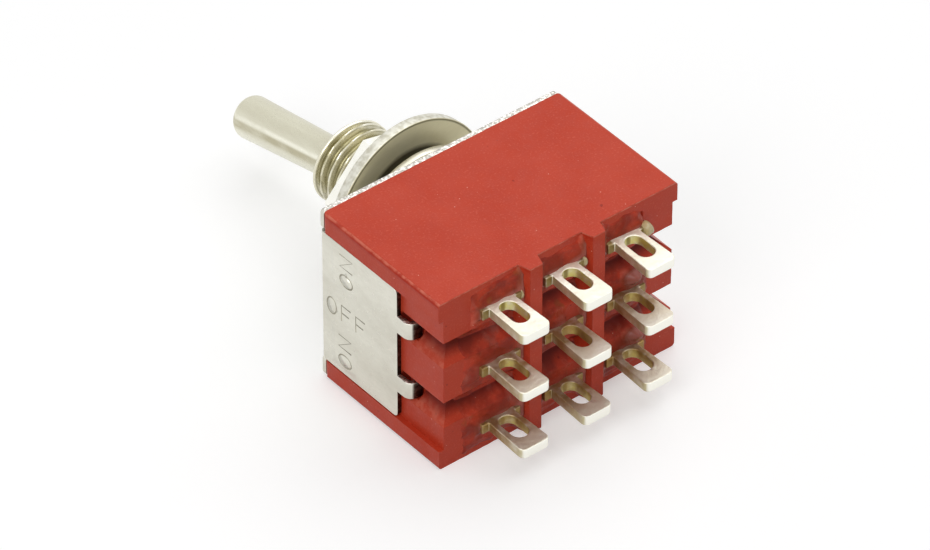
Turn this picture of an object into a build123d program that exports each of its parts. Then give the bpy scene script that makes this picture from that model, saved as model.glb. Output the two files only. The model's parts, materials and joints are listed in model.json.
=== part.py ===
from build123d import *
import os
from math import cos, radians, sin, sqrt, tan

# Miniature three-pole toggle switch, on-off-on, with solder lugs.
# It lies on one long side of its case, as it does on a bench.
#   X  runs along the row of poles
#   Y  is the axis of the threaded bushing, positive towards the tip of the lever
#   Z  is the direction in which the lever is thrown, positive up
# The origin is on the bushing axis, in the outer face of the frame bracket, where a panel seats.
# All sizes are in millimetres and all angles in degrees.

# ---- driving dimensions -------------------------------------------------------------------

# moulded case
case_w = 18.85
case_d = 11.35
case_h = 13.2
case_edge_r = 0.25
case_front_r = 0.4
case_back_r = 0.25
strip_h = 1.45
end_recess = 0.375
groove_pitch = 4.75
groove_w = 2.0
groove_d = 1.0

# poles, terminal rows and the barrier ribs between the poles
pole_count = 3
pole_pitch = 4.95
row_pitch = 4.58
rib_base_w = 1.5
rib_tip_w = 0.95
rib_proud = 0.85

# solder terminals, cut from flat strip
blade_w = 2.0
blade_t = 0.72
lug_reach = 4.0
lug_tip_w = 2.25
lug_tip_r = 0.4
shoulder_w = 3.05
shoulder_reach = 0.6
eyelet_l = 2.25
eyelet_w = 1.2
eyelet_to_tip = 1.1
bend_r = 0.2
head_l = 2.6
slot_gap = 0.04

# resin poured round each terminal root
seal_w = 3.4
seal_h = 2.3
seal_depth = 0.5
seal_proud = 0.2

# sheet frame bracket
sheet_t = 0.35
bracket_bend_r = 0.05
wing_inset = 0.1
flange_reach = 7.6
flange_side_gap = 0.06
flange_corner_r = 0.35
tab_w = 1.25
tab_straight = 0.6
tab_bend_r = 0.3
tab_toe = 0.4
tab_gap = 0.12

# bushing, its thread drawn at the crests
thread_r = 2.95
bushing_l = 9.1
bushing_chamfer = 0.15
neck_r = 2.7
neck_gap = 0.02
swage_r = 3.4
swage_t = 0.4
mouth_r = 2.25
waist_r = 1.85
cavity_r = 2.08
cavity_l = 4.8
root_bore_r = 2.42

# lever, ball and cross pin
throw_angle = 12.5
pivot_y = 6.3
ball_r = 2.0
lever_l = 13.45
lever_tip_r = 1.48
lever_neck_r = 1.3
lever_tip_fillet = 0.5
arm_l = 8.7
arm_r = 0.75
arm_tip_r = 0.9
pin_r = 0.5
pin_l = 4.5
pin_gap = 0.02
pin_slot_gap = 0.05
seat_gap = 0.036

# sliding actuator
actuator_top = -1.5
actuator_t = 3.1
actuator_w = 3.4
actuator_end_gap = 0.15
guide_pad_l = 1.15
guide_gap = 0.1
socket_gap = 0.05
boss_w = 2.9
boss_l = 1.9
plunger_bore_r = 0.95
plunger_bore_top = -3.75

# plungers and springs
plunger_r = 0.9
plunger_l = 1.8
nose_r = 0.2
spring_wire = 0.22
spring_r = 0.7
spring_turns = 3
spring_runs = 12
spring_seat_gap = 0.02
nose_gap = 0.12

# rocking contacts
rocker_y = -7.3
rocker_t = 0.3
rocker_w = 2.4
rocker_half_l = 3.3
rocker_tilt = 9.0
rocker_waist_w = 1.5
rocker_notch_l = 1.1
contact_gap = 0.05
ear_w = 0.35
ear_h = 0.6
ear_gap = 0.1

# hollow of the case
wall_gap = 0.17
cell_w = 3.1

# mounting hardware
nut_af = 8.0
nut_bore_gap = 0.05
nut_t = 1.55
front_nut_y = 4.2
front_nut_turn = 48.0
back_nut_turn = 20.0
nut_chamfer_angle = 30.0
lock_washer_r = 5.05
lock_washer_t = 0.5
lock_tooth_count = 8
lock_tooth_l = 0.85
lock_tooth_w = 1.1
flat_washer_r = 6.25
flat_washer_t = 0.75
flat_washer_bore_r = 3.15
flat_washer_y = 2.74
flat_washer_lean_top = 4.63
flat_washer_lean_side = 3.03

# ---- sizes that follow from them ----------------------------------------------------------

case_front = -sheet_t
case_back = case_front - case_d
end_x = case_w / 2 - end_recess
flange_half = case_h / 2 - strip_h - flange_side_gap
contact_level = rocker_y - rocker_t / 2 - contact_gap
cell_floor = contact_level - blade_t
lug_tip = case_back - lug_reach
lever_shift = arm_l * sin(radians(throw_angle))
actuator_bottom = actuator_top - actuator_t
boss_bottom = actuator_bottom - boss_l
chamber_x = (pole_count - 1) / 2 * pole_pitch + boss_w / 2 + wall_gap + guide_pad_l / 2
chamber_z = actuator_w / 2 + lever_shift + wall_gap
nut_bore_r = thread_r + nut_bore_gap
pole_x = [(i - (pole_count - 1) / 2) * pole_pitch for i in range(pole_count)]
row_z = {"upper": row_pitch, "common": 0, "lower": -row_pitch}

os.makedirs("parts", exist_ok=True)


def write(piece, name):
    """Labels a finished piece and writes it as its own STEP file."""
    piece.part.label = name
    export_step(piece.part, f"parts/{name}.step")


def across(y):
    """Plane square to the bushing axis at y, with X to its right and Z up."""
    return Plane.XZ.offset(-y)


# ---- case ---------------------------------------------------------------------------------


def case_plan(plane):
    """Plan of the case, its front corners rounder than its back ones."""
    with BuildSketch(plane) as plan:
        with Locations((0, (case_front + case_back) / 2)):
            Rectangle(case_w, case_d)
        corners = plan.vertices().group_by(Axis.Y)
        fillet(corners[-1], case_front_r)
        fillet(corners[0], case_back_r)
    return plan.sketch


def cut_end_recesses():
    """Sinks both end faces between their top and bottom strips, for the bracket's flanges."""
    relief = bracket_bend_r + case_edge_r
    with BuildSketch(Plane.XY.offset(strip_h - case_h / 2)) as recess:
        with BuildLine():
            Polyline(
                (end_x, case_back),
                (end_x, case_front - relief),
                (end_x - relief, case_front),
                (case_w, case_front),
                (case_w, case_back),
                close=True,
            )
        make_face()
        mirror(about=Plane.YZ)
    extrude(recess.sketch, amount=case_h - 2 * strip_h, mode=Mode.SUBTRACT)


def cut_tier_grooves():
    """Cuts the two V grooves that divide the case into tiers, round three of its sides."""
    half = groove_w / 2
    for z in (-groove_pitch / 2, groove_pitch / 2):
        with BuildSketch(Plane.YZ.offset(-case_w / 2)) as face_groove:
            with BuildLine():
                Polyline(
                    (case_back, z - half),
                    (case_back + groove_d, z),
                    (case_back, z + half),
                    close=True,
                )
            make_face()
        extrude(face_groove.sketch, amount=case_w, mode=Mode.SUBTRACT)
        with BuildSketch(across(-flange_reach)) as end_grooves:
            with BuildLine():
                Polyline(
                    (end_x, z - half),
                    (end_x - groove_d, z),
                    (end_x, z + half),
                    close=True,
                )
            make_face()
            mirror(about=Plane.YZ)
        extrude(end_grooves.sketch, amount=-case_back - flange_reach, mode=Mode.SUBTRACT)


def add_barrier_ribs():
    """Raises a tapered rib between each two columns of terminals, over the grooves."""
    for i in range(pole_count - 1):
        x = (pole_x[i] + pole_x[i + 1]) / 2
        with BuildSketch(Plane.XY.offset(-case_h / 2)) as rib:
            with BuildLine():
                Polyline(
                    (x - rib_base_w / 2, case_back + groove_d),
                    (x - rib_base_w / 2, case_back),
                    (x - rib_tip_w / 2, case_back - rib_proud),
                    (x + rib_tip_w / 2, case_back - rib_proud),
                    (x + rib_base_w / 2, case_back),
                    (x + rib_base_w / 2, case_back + groove_d),
                    close=True,
                )
            make_face()
        extrude(rib.sketch, amount=case_h)


def cut_tab_pockets():
    """Cuts the pockets into which the bracket's tabs are crimped."""
    depth = tab_bend_r + tab_toe + tab_gap
    length = tab_straight + tab_bend_r + sheet_t + 2 * tab_gap
    centre_y = -flange_reach + tab_gap - length / 2
    for side in (-1, 1):
        with Locations(
            (side * (end_x - depth / 2), centre_y, groove_pitch / 2),
            (side * (end_x - depth / 2), centre_y, -groove_pitch / 2),
        ):
            Box(depth, length, tab_w + 2 * tab_gap, mode=Mode.SUBTRACT)


def cut_chamber():
    """Hollows the case for the actuator, and below it one cell for each pole."""
    bar_floor = actuator_bottom - actuator_end_gap
    boss_floor = boss_bottom - actuator_end_gap
    boss_x = pole_x[-1] + boss_w / 2 + wall_gap
    cell_half = row_pitch + blade_t / 2
    with BuildSketch(across(case_front)) as bar_space:
        Rectangle(2 * chamber_x, 2 * chamber_z)
    extrude(bar_space.sketch, amount=case_front - bar_floor, mode=Mode.SUBTRACT)
    with BuildSketch(across(bar_floor)) as boss_space:
        Rectangle(2 * boss_x, 2 * chamber_z)
    extrude(boss_space.sketch, amount=bar_floor - boss_floor, mode=Mode.SUBTRACT)
    with BuildSketch(across(boss_floor)) as cells:
        with Locations(*[(x, 0) for x in pole_x]):
            Rectangle(cell_w, 2 * cell_half + 2 * slot_gap)
    extrude(cells.sketch, amount=boss_floor - cell_floor, mode=Mode.SUBTRACT)


def cut_terminal_slots():
    """Opens the floor of the cells for the blades, with a shallow pocket for the resin."""
    places = [(x, z) for x in pole_x for z in row_z.values()]
    with BuildSketch(across(cell_floor)) as slots:
        with Locations(*places):
            Rectangle(blade_w + 2 * slot_gap, blade_t + 2 * slot_gap)
    extrude(slots.sketch, amount=cell_floor - case_back, mode=Mode.SUBTRACT)
    with BuildSketch(across(case_back)) as pockets:
        with Locations(*places):
            Rectangle(seal_w, seal_h)
    extrude(pockets.sketch, amount=-seal_depth, mode=Mode.SUBTRACT)


with BuildPart() as case:
    with BuildSketch(across(case_front)):
        RectangleRounded(case_w, case_h, case_edge_r)
    extrude(amount=case_d)
    extrude(case_plan(Plane.XY.offset(-case_h / 2)), amount=case_h, mode=Mode.INTERSECT)
    cut_end_recesses()
    cut_tier_grooves()
    add_barrier_ribs()
    cut_tab_pockets()
    cut_chamber()
    cut_terminal_slots()
write(case, "case")


# ---- frame bracket ------------------------------------------------------------------------


def bracket_section(plane):
    """Section of the bent sheet: its front with a flange folded back from each end."""
    outer = end_x + sheet_t
    with BuildSketch(plane) as section:
        with BuildLine():
            Polyline(
                (outer, -flange_reach),
                (outer, 0),
                (-outer, 0),
                (-outer, -flange_reach),
                (-end_x, -flange_reach),
                (-end_x, -sheet_t),
                (end_x, -sheet_t),
                (end_x, -flange_reach),
                close=True,
            )
        make_face()
        corners = section.vertices().group_by(Axis.Y)
        fillet(corners[-1], bracket_bend_r + sheet_t)
        fillet(corners[-2], bracket_bend_r)
    return section.sketch


def tab_section(plane):
    """Section of both crimped tabs: straight out of the flange, round a bend, inward."""
    outer = end_x + sheet_t
    turn_x = end_x - tab_bend_r
    turn_y = -flange_reach - tab_straight
    toe_x = turn_x - tab_toe
    deep = tab_bend_r + sheet_t
    outer_mid = deep * sin(radians(45))
    inner_mid = tab_bend_r * sin(radians(45))
    with BuildSketch(plane) as section:
        with BuildLine():
            Polyline((end_x, turn_y), (end_x, -flange_reach), (outer, -flange_reach), (outer, turn_y))
            ThreePointArc(
                (outer, turn_y),
                (turn_x + outer_mid, turn_y - outer_mid),
                (turn_x, turn_y - deep),
            )
            Polyline(
                (turn_x, turn_y - deep),
                (toe_x, turn_y - deep),
                (toe_x, turn_y - tab_bend_r),
                (turn_x, turn_y - tab_bend_r),
            )
            ThreePointArc(
                (turn_x, turn_y - tab_bend_r),
                (turn_x + inner_mid, turn_y - inner_mid),
                (end_x, turn_y),
            )
        make_face()
        mirror(about=Plane.YZ)
    return section.sketch


with BuildPart() as frame_bracket:
    extrude(bracket_section(Plane.XY.offset(-flange_half)), amount=2 * flange_half)
    free_ends = frame_bracket.edges().filter_by(Axis.X).group_by(Axis.Y)[0]
    fillet(free_ends, flange_corner_r)
    wing_half = end_x + sheet_t - wing_inset
    wing_z = (case_h - strip_h) / 2
    with BuildSketch(across(0)):
        Rectangle(2 * end_x, case_h)
        with Locations((0, wing_z), (0, -wing_z)):
            RectangleRounded(2 * wing_half, strip_h, wing_half - end_x)
    extrude(amount=sheet_t)
    for tab_z in (-groove_pitch / 2, groove_pitch / 2):
        extrude(tab_section(Plane.XY.offset(tab_z - tab_w / 2)), amount=tab_w)
    with BuildSketch(across(0)):
        Circle(neck_r + neck_gap)
    extrude(amount=sheet_t, mode=Mode.SUBTRACT)
write(frame_bracket, "frame_bracket")


# ---- bushing ------------------------------------------------------------------------------

seat_y = pivot_y + sqrt((ball_r + seat_gap) ** 2 - waist_r**2)
swage_y = -sheet_t - swage_t

with BuildPart() as bushing:
    with BuildSketch(Plane.XY):
        with BuildLine():
            Polyline(
                (root_bore_r, swage_y),
                (swage_r, swage_y),
                (swage_r, -sheet_t),
                (neck_r, -sheet_t),
                (neck_r, 0),
                (thread_r, 0),
                (thread_r, bushing_l - bushing_chamfer),
                (thread_r - bushing_chamfer, bushing_l),
                (mouth_r, bushing_l),
                (waist_r, seat_y),
                (cavity_r, seat_y - (cavity_r - waist_r)),
                (cavity_r, seat_y - cavity_l),
                (root_bore_r, seat_y - cavity_l),
                close=True,
            )
        make_face()
    revolve(axis=Axis.Y)
    slot_half = pin_l / 2 + pin_slot_gap
    slot_top = pivot_y + pin_r + pin_slot_gap
    with Locations((0, (slot_top + swage_y) / 2, 0)):
        Box(
            2 * slot_half,
            slot_top - swage_y,
            2 * (pin_r + pin_slot_gap),
            mode=Mode.SUBTRACT,
        )
write(bushing, "bushing")


# ---- lever and its cross pin --------------------------------------------------------------

lean = radians(throw_angle)
lever_plane = Plane(
    origin=(0, pivot_y, 0),
    x_dir=(1, 0, 0),
    z_dir=(0, sin(lean), cos(lean)),
)
lever_axis = Axis((0, pivot_y, 0), (0, cos(lean), -sin(lean)))
ball_to_shank = sqrt(ball_r**2 - lever_neck_r**2)
tip_to_arm = sqrt(arm_tip_r**2 - arm_r**2)

with BuildPart() as lever:
    with BuildSketch(lever_plane) as lever_half:
        with BuildLine():
            ThreePointArc(
                (0, -arm_l - arm_tip_r),
                (arm_tip_r, -arm_l),
                (arm_r, tip_to_arm - arm_l),
            )
            Line((arm_r, tip_to_arm - arm_l), (arm_r, arm_r - ball_r))
            Line((arm_r, arm_r - ball_r), (ball_r, 0))
            RadiusArc((ball_r, 0), (lever_neck_r, ball_to_shank), -ball_r)
            Line((lever_neck_r, ball_to_shank), (lever_tip_r, lever_l))
            Line((lever_tip_r, lever_l), (0, lever_l))
            Line((0, lever_l), (0, -arm_l - arm_tip_r))
        make_face()
    revolve(axis=lever_axis)
    tip_edge = lever.edges().filter_by(GeomType.CIRCLE).sort_by(Axis.Y)[-1]
    fillet(tip_edge, lever_tip_fillet)
    with Locations(Plane(origin=(0, pivot_y, 0), z_dir=(1, 0, 0))):
        Cylinder(pin_r + pin_gap, 2 * ball_r, mode=Mode.SUBTRACT)
write(lever, "lever")

with BuildPart() as pivot_pin:
    with BuildSketch(Plane.YZ.offset(-pin_l / 2)):
        with Locations((pivot_y, 0)):
            Circle(pin_r)
    extrude(amount=pin_l)
write(pivot_pin, "pivot_pin")


# ---- actuator -----------------------------------------------------------------------------

actuator_half = chamber_x - actuator_end_gap
pad_top = -sheet_t - guide_gap
socket_floor = pivot_y - arm_l - arm_tip_r - 2 * socket_gap

with BuildPart() as actuator:
    with BuildSketch(across(actuator_top)):
        with Locations((0, lever_shift)):
            Rectangle(2 * actuator_half, actuator_w)
    extrude(amount=actuator_t)
    pad_x = actuator_half - guide_pad_l / 2
    with BuildSketch(across(pad_top)):
        with Locations((-pad_x, lever_shift), (pad_x, lever_shift)):
            Rectangle(guide_pad_l, actuator_w)
    extrude(amount=pad_top - actuator_top)
    with BuildSketch(across(actuator_bottom)):
        with Locations(*[(x, lever_shift) for x in pole_x]):
            Rectangle(boss_w, boss_w)
    extrude(amount=boss_l)
    with BuildSketch(across(boss_bottom)):
        with Locations(*[(x, lever_shift) for x in pole_x]):
            Circle(plunger_bore_r)
    extrude(amount=boss_bottom - plunger_bore_top, mode=Mode.SUBTRACT)
    with BuildSketch(across(actuator_top)):
        with Locations((0, lever_shift)):
            Rectangle(2 * (arm_tip_r + 2 * socket_gap), 2 * (arm_tip_r + socket_gap))
    extrude(amount=actuator_top - socket_floor, mode=Mode.SUBTRACT)
write(actuator, "actuator")


# ---- plungers and springs -----------------------------------------------------------------

nose_y = rocker_y + rocker_t / 2 + nose_gap
plunger_top = nose_y + plunger_l
spring_base = plunger_top + spring_seat_gap + spring_wire / 2
spring_l = plunger_bore_top - plunger_top - spring_wire - 2 * spring_seat_gap


def build_plunger(number, x):
    """Turned plunger with a blunt cone at the end that bears on the rocker."""
    turn_plane = Plane(origin=(x, 0, lever_shift), x_dir=(1, 0, 0), z_dir=(0, 0, 1))
    with BuildPart() as plunger:
        with BuildSketch(turn_plane):
            with BuildLine():
                Polyline(
                    (0, nose_y),
                    (nose_r, nose_y),
                    (plunger_r, nose_y + plunger_r - nose_r),
                    (plunger_r, plunger_top),
                    (0, plunger_top),
                    close=True,
                )
            make_face()
        revolve(axis=Axis((x, 0, lever_shift), (0, 1, 0)))
    write(plunger, f"plunger_{number}")


def build_spring(number, x):
    """Coil of square wire, in short straight runs, from the plunger to the top of its bore."""
    run_total = spring_turns * spring_runs
    turns = [radians(360 * i / spring_runs) for i in range(run_total + 1)]
    points = [
        (
            x + spring_r * cos(turn),
            spring_base + spring_l * i / run_total,
            lever_shift + spring_r * sin(turn),
        )
        for i, turn in enumerate(turns)
    ]
    with BuildPart() as spring:
        with BuildLine() as coil:
            Polyline(*points)
        with BuildSketch(Plane(origin=points[0], z_dir=coil.line % 0)):
            Rectangle(spring_wire, spring_wire)
        sweep(path=coil.line, transition=Transition.RIGHT)
    write(spring, f"plunger_spring_{number}")


# ---- rocking contacts ---------------------------------------------------------------------


def build_rocker(number, x):
    """Shallow V of contact strip, tipped so that its upper wing lies flat on its contact."""
    half_t = rocker_t / 2
    fold = radians(2 * rocker_tilt)
    mitre = half_t * tan(radians(rocker_tilt))
    wing_y = rocker_y + rocker_half_l * sin(fold)
    wing_z = -rocker_half_l * cos(fold)
    with BuildPart() as rocker:
        with BuildSketch(Plane.YZ.offset(x - rocker_w / 2)):
            with BuildLine():
                Polyline(
                    (rocker_y + half_t, rocker_half_l),
                    (rocker_y + half_t, mitre),
                    (wing_y + half_t * cos(fold), wing_z + half_t * sin(fold)),
                    (wing_y - half_t * cos(fold), wing_z - half_t * sin(fold)),
                    (rocker_y - half_t, -mitre),
                    (rocker_y - half_t, rocker_half_l),
                    close=True,
                )
            make_face()
        extrude(amount=rocker_w)
        notch_w = (rocker_w - rocker_waist_w) / 2
        notch_x = (rocker_w + rocker_waist_w) / 4
        with Locations((x - notch_x, rocker_y, 0), (x + notch_x, rocker_y, 0)):
            Box(notch_w, 4 * rocker_t, rocker_notch_l, mode=Mode.SUBTRACT)
    write(rocker, f"rocker_{number}")


# ---- terminals ----------------------------------------------------------------------------


def lug_outline(plane, x, top):
    """Flat outline of a terminal from its inner end to the tip of its lug."""
    shoulder_l = seal_depth + shoulder_reach
    with BuildSketch(plane) as outline:
        with BuildLine():
            Polyline(
                (x - blade_w / 2, top),
                (x + blade_w / 2, top),
                (x + blade_w / 2, case_back - shoulder_reach),
                (x + lug_tip_w / 2, lug_tip),
                (x - lug_tip_w / 2, lug_tip),
                (x - blade_w / 2, case_back - shoulder_reach),
                close=True,
            )
        make_face()
        fillet(outline.vertices().group_by(Axis.Y)[0], lug_tip_r)
        with Locations((x, case_back + seal_depth - shoulder_l / 2)):
            Rectangle(shoulder_w, shoulder_l)
        with Locations((x, lug_tip + eyelet_to_tip + eyelet_l / 2)):
            SlotOverall(eyelet_l, eyelet_w, rotation=90, mode=Mode.SUBTRACT)
    return outline.sketch


def build_common(number, x):
    """Middle terminal: straight blade, whose top is the saddle that carries the rocker."""
    shelf_w = rocker_waist_w + 2 * (ear_gap + ear_w)
    with BuildPart() as common:
        blade_plane = Plane.XY.offset(-blade_t / 2)
        extrude(lug_outline(blade_plane, x, contact_level), amount=blade_t)
        with BuildSketch(blade_plane):
            with Locations((x, (cell_floor + contact_level) / 2)):
                Rectangle(shelf_w, contact_level - cell_floor)
            ear_x = rocker_waist_w / 2 + ear_gap + ear_w / 2
            with Locations(
                (x - ear_x, contact_level + ear_h / 2),
                (x + ear_x, contact_level + ear_h / 2),
            ):
                Rectangle(ear_w, ear_h)
        extrude(amount=blade_t)
    write(common, f"common_terminal_{number}")


def build_throw(row, number, x, z):
    """Outer terminal: its inner end is bent over into the contact that the rocker strikes."""
    inward = -1 if z > 0 else 1
    outer_z = z - inward * blade_t / 2
    inner_z = z + inward * blade_t / 2
    head_z = outer_z + inward * head_l
    with BuildPart() as throw:
        with BuildSketch(Plane.YZ.offset(x - shoulder_w / 2)) as bent:
            with BuildLine():
                Polyline(
                    (lug_tip, outer_z),
                    (contact_level, outer_z),
                    (contact_level, head_z),
                    (cell_floor, head_z),
                    (cell_floor, inner_z),
                    (lug_tip, inner_z),
                    close=True,
                )
            make_face()
            knee = bent.vertices().sort_by_distance((contact_level, outer_z))[0]
            fillet(knee, bend_r + blade_t / 2)
        extrude(amount=shoulder_w)
        outline = lug_outline(Plane.XY.offset(-case_h / 2), x, contact_level)
        extrude(outline, amount=case_h, mode=Mode.INTERSECT)
    write(throw, f"{row}_terminal_{number}")


def build_seal(row, number, x, z):
    """Resin round one terminal's root: it fills the pocket and swells out of it."""
    with BuildPart() as seal:
        with BuildSketch(across(case_back + seal_depth)):
            with Locations((x, z)):
                Rectangle(seal_w, seal_h)
        extrude(amount=seal_depth)
        with BuildSketch(across(case_back)):
            with Locations((x, z)):
                Rectangle(seal_w, seal_h)
        extrude(amount=seal_proud, taper=45)
        with BuildSketch(across(case_back + seal_depth)):
            with Locations((x, z)):
                Rectangle(shoulder_w, blade_t)
        extrude(amount=seal_depth + seal_proud, mode=Mode.SUBTRACT)
    write(seal, f"{row}_seal_{number}")


for index, x_pole in enumerate(pole_x):
    pole = index + 1
    build_plunger(pole, x_pole)
    build_spring(pole, x_pole)
    build_rocker(pole, x_pole)
    build_common(pole, x_pole)
    build_throw("upper", pole, x_pole, row_z["upper"])
    build_throw("lower", pole, x_pole, row_z["lower"])
    for row_name, z_row in row_z.items():
        build_seal(row_name, pole, x_pole, z_row)


# ---- mounting hardware --------------------------------------------------------------------


def build_nut(name, y, turn, chamfer_end):
    """Hexagon nut whose corners are chamfered on one face: chamfer_end 1 front, -1 back."""
    flat_r = nut_af / 2
    corner_r = flat_r / cos(radians(30))
    drop = (corner_r - flat_r) * tan(radians(nut_chamfer_angle))
    middle = y + nut_t / 2
    plain_y = middle - chamfer_end * nut_t / 2
    chamfered_y = middle + chamfer_end * nut_t / 2
    with BuildPart() as nut:
        with BuildSketch(across(y)):
            RegularPolygon(flat_r, 6, major_radius=False, rotation=turn)
        extrude(amount=-nut_t)
        with BuildSketch(Plane.XY):
            with BuildLine():
                Polyline(
                    (nut_bore_r, plain_y),
                    (corner_r, plain_y),
                    (corner_r, chamfered_y - chamfer_end * drop),
                    (flat_r, chamfered_y),
                    (nut_bore_r, chamfered_y),
                    close=True,
                )
            make_face()
        revolve(axis=Axis.Y, mode=Mode.INTERSECT)
    write(nut, name)


build_nut("back_nut", 0, back_nut_turn, 1)
build_nut("front_nut", front_nut_y, front_nut_turn, -1)

tooth_root_r = nut_bore_r + lock_tooth_l

with BuildPart() as lock_washer:
    with BuildSketch(across(nut_t)):
        Circle(lock_washer_r)
        Circle(tooth_root_r, mode=Mode.SUBTRACT)
        with PolarLocations(nut_bore_r + lock_tooth_l / 2, lock_tooth_count):
            Rectangle(lock_tooth_l + lock_tooth_w / 4, lock_tooth_w)
        Circle(nut_bore_r, mode=Mode.SUBTRACT)
    extrude(amount=-lock_washer_t)
write(lock_washer, "lock_washer")

washer_plane = Plane(
    origin=(0, flat_washer_y, 0),
    x_dir=(1, tan(radians(flat_washer_lean_side)), 0),
    z_dir=(tan(radians(flat_washer_lean_side)), -1, tan(radians(flat_washer_lean_top))),
)

with BuildPart() as flat_washer:
    with BuildSketch(washer_plane):
        Circle(flat_washer_r)
        Circle(flat_washer_bore_r, mode=Mode.SUBTRACT)
    extrude(amount=-flat_washer_t)
write(flat_washer, "flat_washer")
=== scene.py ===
import json
import math
import random

import bmesh
import bpy
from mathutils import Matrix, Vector, noise


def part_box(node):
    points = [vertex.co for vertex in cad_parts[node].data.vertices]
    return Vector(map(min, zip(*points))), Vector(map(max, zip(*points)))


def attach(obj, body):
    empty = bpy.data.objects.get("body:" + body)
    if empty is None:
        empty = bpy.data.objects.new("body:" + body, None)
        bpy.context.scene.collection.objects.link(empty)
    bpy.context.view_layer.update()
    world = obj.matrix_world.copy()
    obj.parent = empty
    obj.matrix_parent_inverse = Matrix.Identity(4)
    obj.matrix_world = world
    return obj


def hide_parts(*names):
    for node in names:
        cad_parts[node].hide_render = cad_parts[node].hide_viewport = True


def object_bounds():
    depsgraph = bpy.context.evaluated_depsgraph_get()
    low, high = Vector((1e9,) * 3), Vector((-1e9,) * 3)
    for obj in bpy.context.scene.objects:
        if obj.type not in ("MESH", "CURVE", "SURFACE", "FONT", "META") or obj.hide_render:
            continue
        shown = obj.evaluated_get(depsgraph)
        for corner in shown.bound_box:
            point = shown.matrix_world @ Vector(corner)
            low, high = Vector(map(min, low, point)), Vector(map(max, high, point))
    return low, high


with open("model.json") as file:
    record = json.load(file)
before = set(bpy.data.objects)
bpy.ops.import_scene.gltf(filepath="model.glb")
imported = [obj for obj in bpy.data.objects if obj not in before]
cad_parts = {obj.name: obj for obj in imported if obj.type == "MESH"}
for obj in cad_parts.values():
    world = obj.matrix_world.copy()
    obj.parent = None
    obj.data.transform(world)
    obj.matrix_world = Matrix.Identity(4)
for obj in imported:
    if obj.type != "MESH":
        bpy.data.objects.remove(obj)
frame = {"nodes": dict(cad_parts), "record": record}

# Dressing of the three-pole toggle switch. Sizes are written in millimetres in the CAD's frame: X
# along the poles, Y along the bushing towards the lever's tip, Z up from the bench. They are
# multiplied by MM where Blender takes metres.

cad_low, cad_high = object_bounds()
MM = 0.001


def box_mm(node):
    """Lowest and highest corner of a CAD node, in millimetres."""
    low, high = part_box(node)
    return low / MM, high / MM


def middle_x(node):
    """Middle of a CAD node across the poles, in millimetres."""
    low, high = box_mm(node)
    return (low.x + high.x) / 2


def middle_z(node):
    """Middle of a CAD node's height, in millimetres."""
    low, high = box_mm(node)
    return (low.z + high.z) / 2


POLES = ("1", "2", "3")
ROWS = ("upper", "common", "lower")
POLE_PITCH = 4.95

case_low, case_high = box_mm("case")
bracket_low, bracket_high = box_mm("frame_bracket")
RIB_PROUD = 0.85
CASE_BACK = case_low.y + RIB_PROUD
CASE_TOP = case_high.z
TIER_GROOVE_Z = 2.375
GROOVE_HALF = 1.0
BUSHING_END = box_mm("bushing")[1].y
THREAD_RADIUS = 2.95
WASHER_RADIUS = box_mm("flat_washer")[1].z
LUG_TIP = box_mm("common_terminal_1")[0].y
BLADE_HALF = 1.0
EYELET_HALF = 0.6
SHOULDER_REACH = 0.6


# ---- node materials -----------------------------------------------------------------------

# sockets of a Mix node for colours, by number, as its other types have sockets of the same names
MIX_FACTOR = 0
MIX_FIRST = 6
MIX_SECOND = 7
MIX_RESULT = 2


def srgb(red, green, blue):
    """Linear colour of an sRGB triple in 0 to 255, as materials take it."""
    linear = []
    for value in (red, green, blue):
        part = value / 255
        linear.append(part / 12.92 if part <= 0.04045 else ((part + 0.055) / 1.055) ** 2.4)
    return (*linear, 1.0)


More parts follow.
